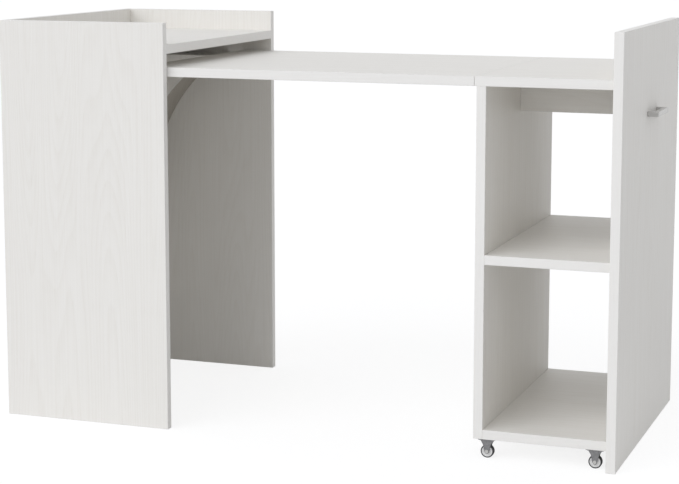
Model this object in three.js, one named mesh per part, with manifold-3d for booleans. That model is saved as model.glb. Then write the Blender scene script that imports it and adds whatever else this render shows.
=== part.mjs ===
// Sewing table: a floor-standing console and a rolling cabinet joined by a drop leaf.
// Millimetres, +Z up, X along the worktop, Y from front to back.
// The origin is on the floor, under the middle of the whole table.
import * as THREE from 'three'
import { mergeVertices } from 'three/addons/utils/BufferGeometryUtils.js'
import Module from 'manifold-3d'

const wasm = await Module()
wasm.setup()

// ---------- driving dimensions ----------
const tableHeight = 800 // rim of the console and top of the cabinet's end panel
const tableDepth = 566 // outer faces of the console's front and back panels
const consoleLength = 357 // end panel's outer face to the open side
const casePanel = 16 // thickness of the console's upright panels
const board = 18 // thickness of the tops, shelf, bottom and cabinet uprights

const trayDepth = 42 // rim down to the console's fixed top
const worktopHeight = 714 // upper face of the leaf and of the cabinet top
const leafUnderTop = 65 // how far the open leaf reaches in under the fixed top
const leafSpan = 679 // length of the leaf along X
const slideGap = 2 // clearance of the leaf and cabinet to the console's panels
const seamGap = 0.5 // leaf to cabinet top

const bayWidth = 236.5 // clear width inside the cabinet
const cabinetSetback = 12 // cabinet's back edges in from the back edge of its top
const topOverhang = 4 // cabinet top past the cabinet's left panel
const cabinetUnderside = 37 // floor to the underside of the bottom board
const shelfHeight = 385 // floor to the upper face of the shelf
const railDrop = 68 // height of the stiffening rail
const floorGap = 1 // cabinet end panel to the floor
const seatGap = 0.2 // seat gap of small hardware

const guideRadius = 325 // cove that turns the leaf's free end downwards
const guideWidth = 91 // along Y, from a console panel inwards
const guideInset = 63 // cabinet-side face of the strip's foot from the end panel
const guideTopDrop = 8 // open leaf's upper face down to the top of the guides
const guideStrip = 3 // bent strip on the ribs' cove edges
const guideFoot = 12 // straight foot below the cove
const stripSeat = 0.3 // glue line between the ribs and the strip

const hingeCount = 3
const hingeLength = 60
const hingeInset = 75 // leaf's front or back edge to the middle of an outer hinge
const hingePlate = 1.2
const hingePlateWidth = 24
const hingeBarrel = 1.8 // outer radius of the knuckles
const hingePin = 0.8
const hingePlay = 0.12 // pin to knuckle, on the radius
const knuckleGap = 0.4 // along Y between knuckles

const wheelRadius = 12.5
const wheelWidth = 10
const tyreThickness = 2.2
const hubRim = 8.6 // radius of the hub's raised face rim
const casterPlateX = 34
const casterPlateY = 24
const casterPlate = 1.6
const cheek = 1.4 // sheet thickness of the fork's cheeks
const cheekFoot = 4.6 // radius of the cheek around the axle
const cheekWaist = 3 // how much wider the cheek is at its waist than at its foot, each side
const cheekWaistShare = 0.45 // of the way down from the plate to the axle
const cheekTopInset = 3 // plate's edge to the top of the cheek
const cheekSideGap = 0.6 // wheel to cheek
const axleRadius = 2
const axlePlay = 0.15
const axleHead = 3.3
const axleHeadThick = 1
const hubSideGap = 0.3 // hub's face to the tyre's side
const hubDish = 1.2 // depth of the hub's sunk ring
const hubSlope = 0.6 // run of the sunk ring's sloping walls
const casterInsetX = 8 // cabinet panel's outer face, or end panel's inner face, to the plate
const casterInsetY = 2 // cabinet's front or back edge to the plate

const handleLength = 100
const handleBar = 10 // square section
const handleReach = 22 // outer face of the bar from the panel
const handleHeight = 634 // centre of the bar above the floor
const handleScrew = 2 // radius of the fixing screws
const screwPlay = 0.2
const screwHead = 4
const screwHeadThick = 2.4
const screwInHandle = 9 // length of thread inside the post
const edgeRound = 0.8 // small bevel on the boards' long arrises

// ---------- derived places ----------
const backInner = tableDepth - casePanel
const fixedTopZ = tableHeight - trayDepth
const fixedTopUnder = fixedTopZ - board
const leafUnder = worktopHeight - board
const leafFront = casePanel + slideGap
const leafDepth = tableDepth - 2 * leafFront
const cabinetDepth = leafDepth - cabinetSetback // left panel, shelf and bottom
const leafLeft = consoleLength - leafUnderTop
const leafRight = leafLeft + leafSpan
const topLeft = leafRight + seamGap
const cabinetLeft = topLeft + topOverhang
const bayLeft = cabinetLeft + board
const endInner = bayLeft + bayWidth
const endOuter = endInner + board
const overallLength = endOuter + handleReach
const hingeX = cabinetLeft - hingeBarrel - seatGap
const hingeZ = leafUnder - hingeBarrel - seatGap

const root = new THREE.Group()
root.name = 'sewing_table'
root.position.set(-overallLength / 2, -tableDepth / 2, 0)

// ---------- materials ----------
function finish(color, roughness, metalness) {
  return () => new THREE.MeshStandardMaterial({ color, roughness, metalness })
}
const whiteBoard = finish(0xe4e2df, 0.55, 0)
const steel = finish(0x8f9092, 0.35, 1)
const darkSteel = finish(0x6e6f70, 0.45, 1)
const nickel = finish(0xc4c4c2, 0.28, 1)
const rubber = finish(0x2e2e2f, 0.7, 0)
const whitePlastic = finish(0xf1f1ef, 0.4, 0)

// ---------- solids ----------
function toSolid(geometry) {
  const g = geometry.clone()
  g.deleteAttribute('normal')
  g.deleteAttribute('uv')
  const m = mergeVertices(g, 1e-4)
  return new wasm.Manifold(new wasm.Mesh({
    numProp: 3,
    vertProperties: new Float32Array(m.attributes.position.array),
    triVerts: new Uint32Array(m.index.array),
  }))
}

function toGeometry(solid) {
  const mesh = solid.getMesh()
  const g = new THREE.BufferGeometry()
  g.setAttribute('position', new THREE.BufferAttribute(new Float32Array(mesh.vertProperties), 3))
  g.setIndex(new THREE.BufferAttribute(new Uint32Array(mesh.triVerts), 1))
  g.computeVertexNormals()
  return g
}

function block(x0, x1, y0, y1, z0, z1) {
  const g = new THREE.BoxGeometry(x1 - x0, y1 - y0, z1 - z0)
  return g.translate((x0 + x1) / 2, (y0 + y1) / 2, (z0 + z1) / 2)
}

// A board whose four long arrises are eased; run names the axis they lie along.
function easedBoard(x0, x1, y0, y1, z0, z1, run) {
  const size = { X: [y0, y1, z0, z1, x0, x1], Y: [x0, x1, z0, z1, y0, y1], Z: [x0, x1, y0, y1, z0, z1] }
  const [a0, a1, b0, b1, c0, c1] = size[run]
  const r = edgeRound
  const outline = new THREE.Shape()
  outline.moveTo(a0 + r, b0)
  outline.lineTo(a1 - r, b0)
  outline.lineTo(a1, b0 + r)
  outline.lineTo(a1, b1 - r)
  outline.lineTo(a1 - r, b1)
  outline.lineTo(a0 + r, b1)
  outline.lineTo(a0, b1 - r)
  outline.lineTo(a0, b0 + r)
  outline.closePath()
  const g = new THREE.ExtrudeGeometry(outline, { depth: c1 - c0, bevelEnabled: false })
  if (run === 'Z') return g.translate(0, 0, c0)
  // X run: the outline's a, b, depth become Y, Z, X; Y run: X, Z, and depth turned towards -Y
  if (run === 'X') {
    const turn = new THREE.Matrix4().set(0, 0, 1, c0, 1, 0, 0, 0, 0, 1, 0, 0, 0, 0, 0, 1)
    return g.applyMatrix4(turn)
  }
  return g.rotateX(Math.PI / 2).translate(0, c1, 0)
}

// A round bar along Y or X, centred on its axis.
function rod(radius, length, sides, along) {
  const g = new THREE.CylinderGeometry(radius, radius, length, sides)
  return along === 'X' ? g.rotateZ(Math.PI / 2) : g
}

function add(name, geometry, material) {
  const mesh = new THREE.Mesh(geometry, material())
  mesh.name = name
  root.add(mesh)
  return mesh
}

// ---------- console case ----------
add('console_front_panel',
  easedBoard(0, consoleLength, 0, casePanel, 0, tableHeight, 'Z'), whiteBoard)
add('console_back_panel',
  easedBoard(0, consoleLength, backInner, tableDepth, 0, tableHeight, 'Z'), whiteBoard)
add('console_end_panel', block(0, casePanel, casePanel, backInner, 0, tableHeight), whiteBoard)
add('console_top',
  block(casePanel, consoleLength, casePanel, backInner, fixedTopUnder, fixedTopZ), whiteBoard)

// ---------- leaf guides ----------
// The strip's inner face is an arc that starts upright at the foot. Carried on, it would just
// touch the fixed top's underside, but the guides stop below the open leaf's upper face.
const coveX = casePanel + guideInset + guideRadius
const coveZ = fixedTopUnder - guideRadius
const stripRadius = guideRadius + guideStrip
const ribRadius = stripRadius + stripSeat
const guideTop = worktopHeight - guideTopDrop
const coveEnd = Math.asin((guideTop - coveZ) / guideRadius)
const coveStep = Math.PI / 60

function arcPoints(radius, from, to) {
  const count = Math.max(2, Math.round(Math.abs(to - from) / coveStep))
  return Array.from({ length: count + 1 }, (_, i) => {
    const a = from + ((to - from) * i) / count
    return new THREE.Vector2(coveX - radius * Math.cos(a), coveZ + radius * Math.sin(a))
  })
}

// An outline in X and Z, extruded from y0 towards the back by depth.
function upright(outline, y0, depth) {
  const g = new THREE.ExtrudeGeometry(outline, { depth, bevelEnabled: false })
  return g.rotateX(Math.PI / 2).translate(0, y0 + depth, 0)
}

function ribOutline() {
  const shape = new THREE.Shape()
  const ribEnd = Math.asin((guideTop - coveZ) / ribRadius)
  shape.moveTo(casePanel, coveZ - guideFoot)
  shape.lineTo(coveX - ribRadius, coveZ - guideFoot)
  for (const p of arcPoints(ribRadius, 0, ribEnd)) shape.lineTo(p.x, p.y)
  shape.lineTo(casePanel, guideTop)
  shape.closePath()
  return shape
}

function stripOutline() {
  const shape = new THREE.Shape()
  const inner = arcPoints(guideRadius, 0, coveEnd)
  const outer = arcPoints(stripRadius, 0, coveEnd).reverse()
  shape.moveTo(coveX - stripRadius, coveZ - guideFoot)
  shape.lineTo(coveX - guideRadius, coveZ - guideFoot)
  for (const p of inner) shape.lineTo(p.x, p.y)
  for (const p of outer) shape.lineTo(p.x, p.y)
  shape.closePath()
  return shape
}

const guideFronts = { front: casePanel, back: backInner - guideWidth }
for (const [side, y0] of Object.entries(guideFronts)) {
  const ribs = { a: y0, b: y0 + guideWidth - casePanel }
  for (const [which, ribY] of Object.entries(ribs)) {
    add(`guide_rib_${side}_${which}`, upright(ribOutline(), ribY, casePanel), whiteBoard)
  }
  add(`guide_strip_${side}`, upright(stripOutline(), y0, guideWidth), whiteBoard)
}

// ---------- leaf ----------
add('leaf',
  easedBoard(leafLeft, leafRight, leafFront, leafFront + leafDepth, leafUnder, worktopHeight, 'X'),
  whiteBoard)

// ---------- rolling cabinet ----------
const cabinetFront = leafFront
const cabinetBack = cabinetFront + cabinetDepth
const bottomTop = cabinetUnderside + board
const handleY = tableDepth / 2
const screwSpan = handleLength - handleBar
const screwYs = { front: handleY - screwSpan / 2, back: handleY + screwSpan / 2 }

add('cabinet_top',
  easedBoard(topLeft, endInner, leafFront, leafFront + leafDepth, leafUnder, worktopHeight, 'X'),
  whiteBoard)
add('cabinet_left_panel',
  easedBoard(cabinetLeft, bayLeft, cabinetFront, cabinetBack, cabinetUnderside, leafUnder, 'Z'),
  whiteBoard)
add('cabinet_bottom',
  block(bayLeft, endInner, cabinetFront, cabinetBack, cabinetUnderside, bottomTop), whiteBoard)
add('cabinet_shelf',
  block(bayLeft, endInner, cabinetFront, cabinetBack, shelfHeight - board, shelfHeight), whiteBoard)
const railFront = (cabinetFront + cabinetBack - casePanel) / 2
add('cabinet_rail',
  block(bayLeft, endInner, railFront, railFront + casePanel, leafUnder - railDrop, leafUnder),
  whiteBoard)

let endPanel = toSolid(easedBoard(endInner, endOuter, 0, tableDepth, floorGap, tableHeight, 'Z'))
for (const y of Object.values(screwYs)) {
  const hole = rod(handleScrew + screwPlay, board + 4, 24, 'X')
  endPanel = endPanel.subtract(toSolid(hole.translate((endInner + endOuter) / 2, y, handleHeight)))
}
add('cabinet_end_panel', toGeometry(endPanel), whiteBoard)

// ---------- handle ----------
function handleSolid() {
  const x0 = endOuter
  const x1 = endOuter + handleReach
  const y0 = handleY - handleLength / 2
  const y1 = handleY + handleLength / 2
  const z0 = handleHeight - handleBar / 2
  const z1 = handleHeight + handleBar / 2
  const outline = new THREE.Shape()
  outline.moveTo(x0, y0)
  outline.lineTo(x1 - edgeRound, y0)
  outline.lineTo(x1, y0 + edgeRound)
  outline.lineTo(x1, y1 - edgeRound)
  outline.lineTo(x1 - edgeRound, y1)
  outline.lineTo(x0, y1)
  outline.lineTo(x0, y1 - handleBar)
  outline.lineTo(x1 - handleBar, y1 - handleBar)
  outline.lineTo(x1 - handleBar, y0 + handleBar)
  outline.lineTo(x0, y0 + handleBar)
  outline.closePath()
  const g = new THREE.ExtrudeGeometry(outline, { depth: z1 - z0, bevelEnabled: false })
  let solid = toSolid(g.translate(0, 0, z0))
  for (const y of Object.values(screwYs)) {
    const socket = rod(handleScrew + screwPlay, screwInHandle + 1, 24, 'X')
    const middle = endOuter + (screwInHandle + 1) / 2 - seatGap
    solid = solid.subtract(toSolid(socket.translate(middle, y, handleHeight)))
  }
  return solid
}
add('handle', toGeometry(handleSolid()), nickel)

for (const [side, y] of Object.entries(screwYs)) {
  const length = board + screwInHandle - seatGap
  const shank = rod(handleScrew, length, 24, 'X')
  shank.translate(endInner + length / 2, y, handleHeight)
  const head = rod(screwHead, screwHeadThick, 24, 'X')
  head.translate(endInner - screwHeadThick / 2, y, handleHeight)
  add(`handle_screw_${side}`, toGeometry(toSolid(shank).add(toSolid(head))), steel)
}

// ---------- leaf hinges ----------
function knuckle(y0, y1) {
  const barrel = rod(hingeBarrel, y1 - y0, 20).translate(hingeX, (y0 + y1) / 2, hingeZ)
  return toSolid(barrel)
}

for (let i = 0; i < hingeCount; i += 1) {
  const first = leafFront + hingeInset
  const last = leafFront + leafDepth - hingeInset
  const middle = hingeCount > 1 ? first + ((last - first) * i) / (hingeCount - 1) : handleY
  const y0 = middle - hingeLength / 2
  const y1 = middle + hingeLength / 2
  const third = hingeLength / 3
  const bore = toSolid(
    rod(hingePin + hingePlay, hingeLength + 2, 16).translate(hingeX, middle, hingeZ))

  // leaf side: flat under the leaf, middle knuckle
  const leafPlate = block(hingeX - hingePlateWidth, hingeX, y0, y1,
    hingeZ + hingeBarrel - hingePlate, hingeZ + hingeBarrel)
  const endRoom = (from, to) => toSolid(block(hingeX - hingeBarrel - knuckleGap,
    hingeX + hingeBarrel, from, to, hingeZ - hingeBarrel, hingeZ + hingeBarrel + seatGap / 2))
  const leafSide = toSolid(leafPlate)
    .subtract(endRoom(y0 - 1, y0 + third + knuckleGap))
    .subtract(endRoom(y1 - third - knuckleGap, y1 + 1))
    .add(knuckle(y0 + third + knuckleGap, y1 - third - knuckleGap))
    .subtract(bore)
  add(`hinge_leaf_plate_${i + 1}`, toGeometry(leafSide), steel)

  // cabinet side: upright on the left panel, outer knuckles
  const cabinetPlate = block(hingeX + hingeBarrel - hingePlate, hingeX + hingeBarrel,
    y0, y1, hingeZ - hingePlateWidth, hingeZ)
  const middleRoom = toSolid(block(hingeX - hingeBarrel, hingeX + hingeBarrel + seatGap / 2,
    y0 + third, y1 - third, hingeZ - hingeBarrel - knuckleGap, hingeZ + hingeBarrel + seatGap / 2))
  const cabinetSide = toSolid(cabinetPlate)
    .subtract(middleRoom)
    .add(knuckle(y0, y0 + third))
    .add(knuckle(y1 - third, y1))
    .subtract(bore)
  add(`hinge_cabinet_plate_${i + 1}`, toGeometry(cabinetSide), steel)

  add(`hinge_pin_${i + 1}`,
    rod(hingePin, hingeLength, 16).translate(hingeX, middle, hingeZ), steel)
}

// ---------- casters ----------
const forkInner = wheelWidth / 2 + cheekSideGap
const axleLength = 2 * (forkInner + cheek)

// One cheek, seen from the front: as wide as the plate above, narrow and round at the axle.
function cheekOutline(x, plateZ) {
  const shape = new THREE.Shape()
  const half = casterPlateX / 2 - cheekTopInset
  const waistZ = plateZ - (plateZ - wheelRadius) * cheekWaistShare
  shape.moveTo(x - half, plateZ)
  shape.lineTo(x - cheekFoot - cheekWaist, waistZ)
  shape.lineTo(x - cheekFoot, wheelRadius)
  const arcSides = 10
  for (let i = 1; i <= arcSides; i += 1) {
    const a = Math.PI + (Math.PI * i) / arcSides
    shape.lineTo(x + cheekFoot * Math.cos(a), wheelRadius + cheekFoot * Math.sin(a))
  }
  shape.lineTo(x + cheekFoot + cheekWaist, waistZ)
  shape.lineTo(x + half, plateZ)
  shape.closePath()
  return shape
}

function ring(inner, outer, width, sides) {
  const half = width / 2
  const soft = Math.min(1, (outer - inner) / 3)
  const profile = [
    new THREE.Vector2(inner, -half),
    new THREE.Vector2(outer - soft, -half),
    new THREE.Vector2(outer, -half + soft),
    new THREE.Vector2(outer, half - soft),
    new THREE.Vector2(outer - soft, half),
    new THREE.Vector2(inner, half),
    new THREE.Vector2(inner, -half),
  ]
  return new THREE.LatheGeometry(profile, sides)
}

function hubProfile() {
  const half = wheelWidth / 2 - hubSideGap
  const bore = axleRadius + axlePlay
  const outer = wheelRadius - tyreThickness - seatGap
  const boss = cheekFoot
  return [
    new THREE.Vector2(bore, -half),
    new THREE.Vector2(boss, -half),
    new THREE.Vector2(boss + hubSlope, -half + hubDish),
    new THREE.Vector2(hubRim - hubSlope, -half + hubDish),
    new THREE.Vector2(hubRim, -half),
    new THREE.Vector2(outer, -half),
    new THREE.Vector2(outer, half),
    new THREE.Vector2(hubRim, half),
    new THREE.Vector2(hubRim - hubSlope, half - hubDish),
    new THREE.Vector2(boss + hubSlope, half - hubDish),
    new THREE.Vector2(boss, half),
    new THREE.Vector2(bore, half),
    new THREE.Vector2(bore, -half),
  ]
}

function caster(place, x, y) {
  const plateUnder = cabinetUnderside - casterPlate
  const plate = toSolid(block(x - casterPlateX / 2, x + casterPlateX / 2,
    y - casterPlateY / 2, y + casterPlateY / 2, plateUnder, cabinetUnderside))
  const bore = toSolid(
    rod(axleRadius + seatGap / 2, axleLength + 2, 24).translate(x, y, wheelRadius))
  const cheekTop = plateUnder + casterPlate / 2
  const fork = plate
    .add(toSolid(upright(cheekOutline(x, cheekTop), y - forkInner - cheek, cheek)))
    .add(toSolid(upright(cheekOutline(x, cheekTop), y + forkInner, cheek)))
    .subtract(bore)
  add(`caster_fork_${place}`, toGeometry(fork), darkSteel)

  const shank = rod(axleRadius, axleLength, 24).translate(x, y, wheelRadius)
  const heads = [-1, 1].map((s) => rod(axleHead, axleHeadThick, 24)
    .translate(x, y + s * (axleLength / 2 + axleHeadThick / 2), wheelRadius))
  const axle = toSolid(shank).add(toSolid(heads[0])).add(toSolid(heads[1]))
  add(`caster_axle_${place}`, toGeometry(axle), nickel)

  const hub = new THREE.LatheGeometry(hubProfile(), 40).translate(x, y, wheelRadius)
  add(`caster_hub_${place}`, hub, whitePlastic)
  const tyre = ring(wheelRadius - tyreThickness, wheelRadius, wheelWidth, 40)
  add(`caster_tyre_${place}`, tyre.translate(x, y, wheelRadius), rubber)
}

const casterXs = {
  left: cabinetLeft + casterInsetX + casterPlateX / 2,
  right: endInner - casterInsetX - casterPlateX / 2,
}
const casterYs = {
  front: cabinetFront + casterInsetY + casterPlateY / 2,
  back: cabinetBack - casterInsetY - casterPlateY / 2,
}
for (const [depthName, y] of Object.entries(casterYs)) {
  for (const [sideName, x] of Object.entries(casterXs)) {
    caster(`${depthName}_${sideName}`, x, y)
  }
}

export default root
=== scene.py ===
import math

import bmesh
import bpy
from mathutils import Matrix, Vector


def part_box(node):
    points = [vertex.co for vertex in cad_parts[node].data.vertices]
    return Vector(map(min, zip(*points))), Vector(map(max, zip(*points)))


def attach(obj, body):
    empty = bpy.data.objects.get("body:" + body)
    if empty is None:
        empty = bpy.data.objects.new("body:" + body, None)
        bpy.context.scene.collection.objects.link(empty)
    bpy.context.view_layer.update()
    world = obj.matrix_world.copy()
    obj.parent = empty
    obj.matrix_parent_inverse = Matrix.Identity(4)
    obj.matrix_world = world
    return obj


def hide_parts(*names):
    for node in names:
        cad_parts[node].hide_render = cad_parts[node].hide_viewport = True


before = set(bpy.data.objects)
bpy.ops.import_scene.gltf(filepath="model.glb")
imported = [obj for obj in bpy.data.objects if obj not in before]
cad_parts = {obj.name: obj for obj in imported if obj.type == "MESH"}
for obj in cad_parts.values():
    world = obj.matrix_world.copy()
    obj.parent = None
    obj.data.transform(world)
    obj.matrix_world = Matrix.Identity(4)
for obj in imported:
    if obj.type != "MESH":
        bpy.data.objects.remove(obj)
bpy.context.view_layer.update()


# ---- Console end panel ----
# The closed left side of the console: 16 mm chipboard under a printed white ash foil, with a
# thin plastic band glued on its narrow edges. Dowels and cam bolts hold it between front and back.
def add_node(tree, kind, inputs=None, **settings):
    made = tree.nodes.new(kind)
    for key, value in settings.items():
        setattr(made, key, value)
    for socket, value in (inputs or {}).items():
        if isinstance(value, bpy.types.NodeSocket):
            tree.links.new(value, made.inputs[socket])
        else:
            made.inputs[socket].default_value = value
    return made


def reckon(tree, operation, a, b=0.0):
    return add_node(tree, "ShaderNodeMath", {0: a, 1: b}, operation=operation).outputs[0]


def between(tree, value, low, high, out_low=0.0, out_high=1.0):
    ranged = {"Value": value, "From Min": low, "From Max": high, "To Min": out_low, "To Max": out_high}
    return add_node(tree, "ShaderNodeMapRange", ranged).outputs["Result"]


def new_finish(name, roughness, metallic=0.0):
    finish = bpy.data.materials.new(name)
    finish.use_nodes = True
    surface = finish.node_tree.nodes["Principled BSDF"]
    surface.inputs["Roughness"].default_value = roughness
    surface.inputs["Metallic"].default_value = metallic
    return finish, finish.node_tree, surface


# The print: growth rings as contours of a long soft field, fibres, and short open pores.
def ash_foil(name, along, clear, streak, figure):
    finish, tree, surface = new_finish(name, 0.5)
    place = add_node(tree, "ShaderNodeTexCoord").outputs["Object"]
    axes = add_node(tree, "ShaderNodeSeparateXYZ", {0: place}).outputs
    across = reckon(tree, "ADD", *[axes[a] for a in "XYZ" if a != along])

    def streaks(per_metre_across, per_metre_along, detail):
        stretched = {
            0: reckon(tree, "MULTIPLY", across, per_metre_across),
            1: reckon(tree, "MULTIPLY", axes[along], per_metre_along),
        }
        vector = add_node(tree, "ShaderNodeCombineXYZ", stretched).outputs[0]
        noise = {"Vector": vector, "Scale": 1.0, "Detail": detail, "Roughness": 0.5}
        return add_node(tree, "ShaderNodeTexNoise", noise).outputs[0]

    field = streaks(8.0, 0.5, 1.4)
    ring = reckon(tree, "FRACT", reckon(tree, "MULTIPLY", field, 44.0))
    late_wood = between(tree, ring, 0.35, 0.9)
    drop = between(tree, ring, 0.9, 1.0, 1.0, 0.0)
    rings = reckon(tree, "MULTIPLY", late_wood, drop)
    fibres = between(tree, streaks(240.0, 3.0, 2.0), 0.3, 0.7)
    pores = between(tree, streaks(1300.0, 32.0, 1.0), 0.56, 0.7)
    tone = between(tree, streaks(2.6, 0.5, 1.0), 0.3, 0.7)
    shares = ((rings, 0.3), (fibres, 0.45), (tone, 0.12), (reckon(tree, "MULTIPLY", pores, rings), 0.6))
    depth = reckon(tree, "MULTIPLY", shares[0][0], shares[0][1] * figure)
    for part, share in shares[1:]:
        depth = reckon(tree, "ADD", depth, reckon(tree, "MULTIPLY", part, share * figure))
    mixed = add_node(tree, "ShaderNodeMix", {"Factor": depth}, data_type="RGBA")
    mixed.inputs[6].default_value = (*clear, 1)
    mixed.inputs[7].default_value = (*streak, 1)
    tree.links.new(mixed.outputs[2], surface.inputs["Base Color"])
    tree.links.new(between(tree, fibres, 0.0, 1.0, 0.46, 0.58), surface.inputs["Roughness"])
    hollows = reckon(tree, "ADD", pores, reckon(tree, "MULTIPLY", fibres, 0.6))
    relief = add_node(tree, "ShaderNodeBump", {"Strength": 0.3, "Distance": 0.0003, "Height": hollows},
                      invert=True)
    tree.links.new(relief.outputs[0], surface.inputs["Normal"])
    return finish


foil_clear, foil_streak = (0.865, 0.845, 0.803), (0.57, 0.51, 0.42)
band_clear = (0.87, 0.853, 0.82)
standing = ash_foil("ash_foil_upright", "Z", foil_clear, foil_streak, 0.18)
standing_band = ash_foil("edge_band_upright", "Z", band_clear, foil_streak, 0.08)
glue_line, _, glue_surface = new_finish("edge_glue_line", 0.6)
glue_surface.inputs["Base Color"].default_value = (0.52, 0.50, 0.47, 1)


def settle(mesh, name, body, finishes, stands_for=()):
    for face in mesh.faces:
        face.smooth = max(abs(a) for a in face.normal) < 0.999
    data = bpy.data.meshes.new(name)
    mesh.to_mesh(data)
    mesh.free()
    for finish in finishes:
        data.materials.append(finish)
    piece = bpy.data.objects.new(name, data)
    bpy.context.scene.collection.objects.link(piece)
    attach(piece, body)
    if stands_for:
        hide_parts(*stands_for)
    return piece


def solid_block(mesh, low, high):
    made = bmesh.ops.create_cube(mesh, size=1)["verts"]
    bmesh.ops.scale(mesh, vec=Vector(high) - Vector(low), verts=made)
    bmesh.ops.translate(mesh, vec=(Vector(low) + Vector(high)) / 2, verts=made)
    return made


def arrises(mesh, past_degrees=30):
    return [edge for edge in mesh.edges if edge.calc_face_angle(0) > math.radians(past_degrees)]


def ease(mesh, edges, offset, segments):
    bmesh.ops.bevel(mesh, geom=edges, offset=offset, segments=segments, affect="EDGES", profile=0.5,
                    material=-1)


# Rounded arrises, then the band's thickness and its glue line drawn on both broad faces.
def banded_board(node, body, foil, band):
    arris_round, band_thick, glue_width = 0.0008, 0.0004, 0.00012
    low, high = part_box(node)
    size = high - low
    thin = min(range(3), key=lambda axis: size[axis])
    mesh = bmesh.new()
    solid_block(mesh, low, high)
    ease(mesh, mesh.edges[:], arris_round, 3)
    broad = sorted(mesh.faces, key=lambda face: -face.calc_area())[:2]
    assert all(abs(face.normal[thin]) > 0.99 for face in broad)
    for face in mesh.faces:
        face.material_index = 1
    bmesh.ops.inset_individual(mesh, faces=broad, thickness=band_thick)
    ringed = bmesh.ops.inset_individual(mesh, faces=broad, thickness=glue_width)["faces"]
    for face in ringed:
        face.material_index = 2
    for face in broad:
        face.material_index = 0
    return settle(mesh, node + "_board", body, (foil, band, glue_line), (node,))


banded_board("console_end_panel", "console", standing, standing_band)

# ---- Console front and back panels ----
# Two full-height sides of the same foiled 16 mm chipboard, cam-bolted over the ends of the
# end panel. They stand on the floor on their lower edges.
for side in ("front", "back"):
    banded_board(f"console_{side}_panel", "console", standing, standing_band)

# ---- Console fixed top ----
# An 18 mm board let in between the uprights, 42 mm below their rim, so that it makes a tray.
# Its grain runs along the table; cam bolts hold it on three sides.
lying = ash_foil("ash_foil_flat", "X", foil_clear, foil_streak, 0.16)
lying_band = ash_foil("edge_band_flat", "X", band_clear, foil_streak, 0.08)
banded_board("console_top", "console", lying, lying_band)


# ---- Leaf guide ribs ----
# Pairs of coved 16 mm ribs, sawn from the same board and screwed under the fixed top against
# the end panel. They hold the bent strip to its curve.
def weld(mesh):
    touching = 0.000002
    bmesh.ops.remove_doubles(mesh, verts=mesh.verts, dist=touching)


def eased_copy(node, easing):
    mesh = bmesh.new()
    mesh.from_mesh(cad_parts[node].data)
    weld(mesh)
    bmesh.ops.dissolve_limit(mesh, angle_limit=math.radians(1), verts=mesh.verts, edges=mesh.edges)
    ease(mesh, arrises(mesh), easing, 2)
    return mesh


for side in ("front", "back"):
    for which in "ab":
        node = f"guide_rib_{side}_{which}"
        settle(eased_copy(node, 0.0004), node + "_sawn", "console", (standing,), (node,))

# ---- Leaf guide strips ----
# A 3 mm strip of laminate bent over the ribs and pinned to them, with a short
# straight foot. Its grey-beige colour, darker than the boards, is painted shade of its
# downward-facing hollow. The leaf's free end runs down its hollow side.
strip_thick, strip_foot, strip_radius = 0.003, 0.012, 0.325
# Base colour set darker than the boards as painted shade of the strip's hollow underside; the streaks are
# its grain.
laminate_painted_shade = ash_foil("guide_laminate_painted_shade", "X", (0.42, 0.39, 0.34), (0.27, 0.24, 0.20), 0.35)
for side in ("front", "back"):
    node = f"guide_strip_{side}"
    low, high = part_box(node)
    cove = Vector((low.x + strip_thick + strip_radius, 0, low.z + strip_foot))
    sweep = math.acos((cove.x - high.x) / strip_radius)
    mesh = bmesh.new()
    foot_top = (low.x + strip_thick, high.y, cove.z)
    solid_block(mesh, low, foot_top)
    rim = [face for face in mesh.faces if face.normal.z > 0.9]
    rim_edges = list({edge for face in rim for edge in face.edges})
    rim_verts = list({vert for face in rim for vert in face.verts})
    bmesh.ops.spin(mesh, geom=rim_verts + rim_edges + rim, cent=cove, axis=(0, 1, 0), angle=sweep,
                   steps=56, use_merge=False)
    weld(mesh)
    inner = [f for f in mesh.faces if all(len(edge.link_faces) > 2 for edge in f.edges)]
    bmesh.ops.delete(mesh, geom=inner, context="FACES_ONLY")
    bmesh.ops.recalc_face_normals(mesh, faces=mesh.faces)
    ease(mesh, arrises(mesh), 0.0003, 2)
    for face in mesh.faces:
        face.material_index = int(abs(face.normal.y) > 0.5)
    settle(mesh, node + "_bent", "console", (laminate_painted_shade, standing_band), (node,))

# ---- Cabinet carcase ----
# An open-fronted and open-backed box on casters: left panel, bottom and shelf in 18 mm foiled
# board and a 16 mm rail at mid depth that keeps it square. All are cam-bolted.
banded_board("cabinet_left_panel", "cabinet", standing, standing_band)
for node in ("cabinet_bottom", "cabinet_shelf", "cabinet_rail"):
    banded_board(node, "cabinet", lying, lying_band)

# ---- Cabinet end panel ----
# The right-hand end, as tall and deep as the console. It closes the table when the cabinet is
# pushed in, and carries the handle. Its foil grain is upright.
banded_board("cabinet_end_panel", "cabinet", standing, standing_band)

# ---- Cabinet top ----
# A short 18 mm worktop on the carcase, level with the leaf, with its grain along the table.
banded_board("cabinet_top", "cabinet", lying, lying_band)

# ---- Handle ----
# A square D handle cast in zinc and plated in satin nickel, with its bar brushed lengthways.
# Two machine screws hold it from inside the end panel.
nickel, nickel_tree, nickel_surface = new_finish("satin_nickel", 0.3, 1.0)
nickel_surface.inputs["Base Color"].default_value = (0.50, 0.495, 0.485, 1)
nickel_surface.inputs["Anisotropic"].default_value = 0.5
nickel_place = add_node(nickel_tree, "ShaderNodeTexCoord").outputs["Object"]
nickel_map = add_node(nickel_tree, "ShaderNodeMapping", {0: nickel_place, 3: (2600, 60, 2600)}).outputs[0]
brushing = add_node(nickel_tree, "ShaderNodeTexNoise", {"Vector": nickel_map, "Scale": 1.0}).outputs[0]
brushed = between(nickel_tree, brushing, 0.3, 0.7, 0.22, 0.42)
nickel_tree.links.new(brushed, nickel_surface.inputs["Roughness"])
nickel_relief = add_node(nickel_tree, "ShaderNodeBump",
                         {"Strength": 0.1, "Distance": 0.00005, "Height": brushing})
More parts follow.
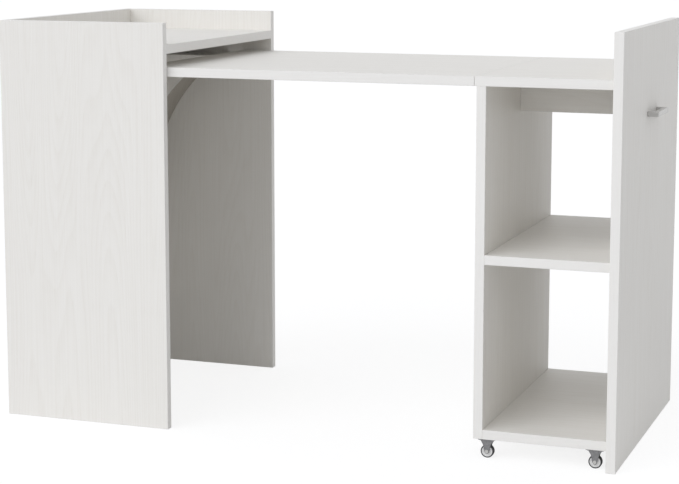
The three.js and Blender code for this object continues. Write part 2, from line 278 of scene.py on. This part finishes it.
nickel_tree.links.new(nickel_relief.outputs[0], nickel_surface.inputs["Normal"])

low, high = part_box("handle")
bar = high.z - low.z
mesh = bmesh.new()
solid_block(mesh, (high.x - bar, low.y, low.z), high)
for y, outward in ((low.y + bar, -1), (high.y - bar, 1)):
    bmesh.ops.bisect_plane(mesh, geom=mesh.verts[:] + mesh.edges[:] + mesh.faces[:],
                           plane_co=(0, y, 0), plane_no=(0, outward, 0))
posts = [face for face in mesh.faces if face.normal.x < -0.9
         and abs(face.calc_center_median().y - (low.y + high.y) / 2) > bar]
grown = bmesh.ops.extrude_discrete_faces(mesh, faces=posts)["faces"]
bmesh.ops.translate(mesh, vec=(low.x - (high.x - bar), 0, 0),
                    verts=list({vert for face in grown for vert in face.verts}))
weld(mesh)
ease(mesh, arrises(mesh), 0.0009, 4)
settle(mesh, "handle_cast", "cabinet", (nickel,), ("handle",))


# ---- Handle screws ----
# M4 machine screws in bright zinc-plated steel, seen from inside the cabinet as pan heads
# with a round socket for the driver.
def clouded(name, colours, roughness, smoother, rougher, grain, detail, metallic=0.0):
    finish, tree, surface = new_finish(name, roughness, metallic)
    place = add_node(tree, "ShaderNodeTexCoord").outputs["Object"]
    noise = {"Vector": place, "Scale": grain, "Detail": detail}
    cloud = add_node(tree, "ShaderNodeTexNoise", noise).outputs[0]
    mixed = add_node(tree, "ShaderNodeMix", {"Factor": between(tree, cloud, 0.3, 0.7)}, data_type="RGBA")
    mixed.inputs[6].default_value = (*colours[0], 1)
    mixed.inputs[7].default_value = (*colours[1], 1)
    tree.links.new(mixed.outputs[2], surface.inputs["Base Color"])
    rough = between(tree, cloud, 0.3, 0.7, roughness - smoother, roughness + rougher)
    tree.links.new(rough, surface.inputs["Roughness"])
    return finish, tree, surface, cloud


def metal(name, colour, roughness, grain):
    tarnish = [channel * 0.78 for channel in colour]
    return clouded(name, (colour, tarnish), roughness, 0.07, 0.09, grain, 3.0, 1.0)[0]


def refinish(node, finish):
    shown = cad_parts[node].data
    shown.materials.clear()
    shown.materials.append(finish)


zinc = metal("zinc_steel", (0.56, 0.57, 0.58), 0.34, 420.0)
for side in ("front", "back"):
    refinish(f"handle_screw_{side}", zinc)


# Pressed heads: a low cone on the surface with the driver's socket sunk in it.
def screw_heads(name, body, centres, outward, radius, proud, finish):
    mesh = bmesh.new()
    turn = Vector((0, 0, 1)).rotation_difference(Vector(outward)).to_matrix().to_4x4()
    for centre in centres:
        seat = Matrix.Translation(Vector(centre) + Vector(outward) * proud / 2) @ turn
        bmesh.ops.create_cone(mesh, cap_ends=True, segments=24, radius1=radius, radius2=radius * 0.72,
                              depth=proud, matrix=seat)
    mesh.normal_update()
    caps = [face for face in mesh.faces if face.normal.dot(Vector(outward)) > 0.99]
    bmesh.ops.inset_individual(mesh, faces=caps, thickness=radius * 0.3, depth=-proud * 0.1)
    bmesh.ops.inset_individual(mesh, faces=caps, thickness=radius * 0.04, depth=-proud * 0.6)
    return settle(mesh, name, body, (finish,))


# ---- Leaf ----
# The 679 mm fold-down leaf in 18 mm foiled board, banded on all four edges, with its grain
# along its length. Three hinges join it to the cabinet's left panel.
banded_board("leaf", "leaf", lying, lying_band)

# ---- Leaf hinges ----
# Three zinc-plated steel butt hinges, 60 mm long: one plate flat under the leaf and one upright
# on the cabinet's left panel, each on three countersunk screws round a plain pin.
hinge_sheet, screw_inset, head_radius, head_proud = 0.0012, 0.009, 0.0026, 0.0003
for number in (1, 2, 3):
    for node in ("hinge_leaf_plate", "hinge_cabinet_plate", "hinge_pin"):
        refinish(f"{node}_{number}", zinc)
    low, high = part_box(f"hinge_leaf_plate_{number}")
    rows = [low.y + (high.y - low.y) * share for share in (0.15, 0.5, 0.85)]
    under_plate = high.z - hinge_sheet
    screw_heads(f"hinge_leaf_screws_{number}", "leaf",
                [(low.x + screw_inset, y, under_plate) for y in rows], (0, 0, -1),
                head_radius, head_proud, zinc)
    low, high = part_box(f"hinge_cabinet_plate_{number}")
    plate_face = high.x - hinge_sheet
    screw_heads(f"hinge_cabinet_screws_{number}", "cabinet",
                [(plate_face, y, low.z + screw_inset) for y in rows], (-1, 0, 0),
                head_radius, head_proud, zinc)

# ---- Caster forks ----
# Fixed plate casters. The fork is pressed from one sheet of dark zinc-plated steel: a plate
# with rounded corners and two cheeks that taper down to the axle. Four screws hold the plate.
dark_steel = metal("dark_steel", (0.23, 0.23, 0.235), 0.42, 300.0)
axle_height, cheek_foot = 0.0125, 0.0046
plate_thick, plate_corner, sheet, cheek_inner = 0.0016, 0.003, 0.0014, 0.0056
waist_share, waist_half, shoulder_half = 0.45, 0.0076, 0.014
screw_x, screw_y = 0.0125, 0.0094
corners = [f"{depth}_{side}" for depth in ("front", "back") for side in ("left", "right")]
for corner in corners:
    low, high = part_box(f"caster_fork_{corner}")
    middle = (low + high) / 2
    mesh = bmesh.new()
    solid_block(mesh, (low.x, low.y, high.z - plate_thick), high)
    upright = [e for e in mesh.edges if abs((e.verts[0].co - e.verts[1].co).normalized().z) > 0.9]
    ease(mesh, upright, plate_corner, 5)
    for outward in (-1, 1):
        faces_y = sorted(middle.y + outward * d for d in (cheek_inner, cheek_inner + sheet))
        cheek_top = high.z - plate_thick / 2
        cheek = bmesh.new()
        solid_block(cheek, (middle.x - cheek_foot, faces_y[0], axle_height - cheek_foot),
                    (middle.x + cheek_foot, faces_y[1], cheek_top))
        waist = cheek_top - (cheek_top - axle_height) * waist_share
        for height in (axle_height, waist):
            bmesh.ops.bisect_plane(cheek, geom=cheek.verts[:] + cheek.edges[:] + cheek.faces[:],
                                   plane_co=(0, 0, height), plane_no=(0, 0, 1))
        for height, half in ((waist, waist_half), (cheek_top, shoulder_half)):
            row = [v for v in cheek.verts if abs(v.co.z - height) < 0.0001]
            bmesh.ops.scale(cheek, vec=(half / cheek_foot, 1, 1), verts=row,
                            space=Matrix.Translation(-middle))
        toes = [e for e in cheek.edges if all(v.co.z < axle_height - 0.004 for v in e.verts)
                and abs(e.verts[0].co.y - e.verts[1].co.y) > 0.001]
        ease(cheek, toes, cheek_foot * 0.98, 9)
        pressed = bpy.data.meshes.new("cheek")
        cheek.to_mesh(pressed)
        cheek.free()
        mesh.from_mesh(pressed)
        bpy.data.meshes.remove(pressed)
    mesh.normal_update()
    ease(mesh, arrises(mesh, 40), 0.0002, 2)
    node = f"caster_fork_{corner}"
    settle(mesh, node + "_pressed", "cabinet", (dark_steel,), (node,))
    seats = [(middle.x + x, middle.y + y, high.z - plate_thick) for x in (-screw_x, screw_x)
             for y in (-screw_y, screw_y)]
    screw_heads(f"caster_screws_{corner}", "cabinet", seats, (0, 0, -1), 0.0021, 0.0012, zinc)

# ---- Caster axles ----
# A riveted steel pin through both cheeks, with a bright flat head on each side.
for corner in corners:
    refinish(f"caster_axle_{corner}", nickel)


# ---- Caster hubs and tyres ----
# The wheel is a moulded white nylon hub with a dished face, with a tread of dark grey rubber
# moulded over its rim. It turns freely on the axle.
def turned(name, body, profile, centre, finish, stands_for):
    mesh = bmesh.new()
    ring = [mesh.verts.new((centre.x + radius, centre.y + width, centre.z)) for radius, width in profile]
    loop = [mesh.edges.new(pair) for pair in zip(ring, ring[1:] + ring[:1])]
    bmesh.ops.spin(mesh, geom=ring + loop, cent=centre, axis=(0, 1, 0), angle=math.tau, steps=64,
                   use_merge=True)
    bmesh.ops.recalc_face_normals(mesh, faces=mesh.faces)
    settle(mesh, name, body, (finish,), stands_for)


def mottled(name, colour, shade, roughness, grain, bump):
    finish, tree, surface, cloud = clouded(name, (colour, shade), roughness, 0.06, 0.06, grain, 4.0)
    relief = add_node(tree, "ShaderNodeBump", {"Strength": bump, "Distance": 0.0001, "Height": cloud})
    tree.links.new(relief.outputs[0], surface.inputs["Normal"])
    return finish


nylon = mottled("white_nylon", (0.82, 0.815, 0.80), (0.76, 0.75, 0.735), 0.42, 500.0, 0.08)
rubber = mottled("tyre_rubber", (0.035, 0.035, 0.037), (0.06, 0.06, 0.06), 0.72, 900.0, 0.25)
half_hub, half_tyre = 0.0047, 0.005
dish = [(0.00215, half_hub), (0.0046, half_hub), (0.0049, half_hub - 0.0003), (0.0052, half_hub - 0.0012),
        (0.0079, half_hub - 0.0012), (0.0083, half_hub - 0.0003), (0.0086, half_hub), (0.0101, half_hub)]
tread = [(0.0103, half_tyre), (0.0117, half_tyre), (0.01225, half_tyre - 0.0003),
         (0.0125, half_tyre - 0.0009)]
for corner in corners:
    low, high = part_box(f"caster_tyre_{corner}")
    centre = (low + high) / 2
    for node, half, finish, slot in (("caster_hub", dish, nylon, "white_plastic"),
                                     ("caster_tyre", tread, rubber, "tyre_rubber")):
        profile = half + [(radius, -width) for radius, width in reversed(half)]
        turned(f"{node}_{corner}_moulded", f"wheel_{corner}", profile, centre, finish,
               (f"{node}_{corner}",))

# ---- Floor ----
# A plain white sweep under the table, not part of it. The camera sees it as white paper that
# still takes the table's shadow.
floor_mesh = bmesh.new()
bmesh.ops.create_grid(floor_mesh, x_segments=1, y_segments=1, size=60)
floor_data = bpy.data.meshes.new("floor")
floor_mesh.to_mesh(floor_data)
floor_mesh.free()
floor = bpy.data.objects.new("floor", floor_data)
bpy.context.scene.collection.objects.link(floor)
paper = bpy.data.materials.new("white_paper")
paper.use_nodes = True
paper_tree = paper.node_tree
paper_tree.nodes.clear()


def seen_by_eye(tree):
    path = add_node(tree, "ShaderNodeLightPath").outputs
    glossy = reckon(tree, "MAXIMUM", path["Is Camera Ray"], path["Is Glossy Ray"])
    return reckon(tree, "MAXIMUM", glossy, path["Is Transmission Ray"])


seen = seen_by_eye(paper_tree)
lit = add_node(paper_tree, "ShaderNodeBsdfDiffuse", {"Color": (0.84, 0.84, 0.84, 1)})
taking_shadow = add_node(paper_tree, "ShaderNodeBsdfDiffuse", {"Color": (0.22, 0.22, 0.22, 1)})
glow = add_node(paper_tree, "ShaderNodeEmission", {"Color": (1, 1, 1, 1), "Strength": 0.84})
white = add_node(paper_tree, "ShaderNodeAddShader", {0: taking_shadow.outputs[0], 1: glow.outputs[0]})
either = add_node(paper_tree, "ShaderNodeMixShader",
                  {0: seen, 1: lit.outputs[0], 2: white.outputs[0]})
add_node(paper_tree, "ShaderNodeOutputMaterial", {0: either.outputs[0]})
floor_data.materials.append(paper)

# ---- Studio light ----
# One wide soft lamp in front and above, on the left, and even light from all round, both very
# slightly cool.
studio_tint = (0.98, 0.995, 1.03)
world = bpy.data.worlds.new("studio")
bpy.context.scene.world = world
world.use_nodes = True
world_tree = world.node_tree
world_tree.nodes.clear()
world_seen = seen_by_eye(world_tree)
all_round = add_node(world_tree, "ShaderNodeBackground", {"Color": (*studio_tint, 1), "Strength": 0.58})
white_wall = add_node(world_tree, "ShaderNodeBackground", {"Color": (1, 1, 1, 1), "Strength": 1.0})
world_mix = add_node(world_tree, "ShaderNodeMixShader",
                     {0: world_seen, 1: all_round.outputs[0], 2: white_wall.outputs[0]})
add_node(world_tree, "ShaderNodeOutputWorld", {0: world_mix.outputs[0]})
lamp_data = bpy.data.lights.new("front_lamp", "SUN")
lamp_data.energy = 1.26
lamp_data.color = studio_tint
lamp_data.angle = math.radians(60)
lamp = bpy.data.objects.new("front_lamp", lamp_data)
lamp.rotation_euler = Vector((-0.38, -0.74, 0.55)).to_track_quat("Z", "Y").to_euler()
bpy.context.scene.collection.objects.link(lamp)

# ---- Camera ----
# In front and to the right, a little above the rim of the table, on a long lens.
camera_data = bpy.data.cameras.new("camera")
camera_data.lens = 97.955
camera_data.shift_y = -0.08
camera_data.clip_end = 300
camera = bpy.data.objects.new("camera", camera_data)
camera.location = (1.253, -3.4971, 0.982)
camera.rotation_euler = (math.radians(81.974), 0, math.radians(20.016))
bpy.context.scene.collection.objects.link(camera)
bpy.context.scene.camera = camera
bpy.context.scene.view_settings.view_transform = "Standard"
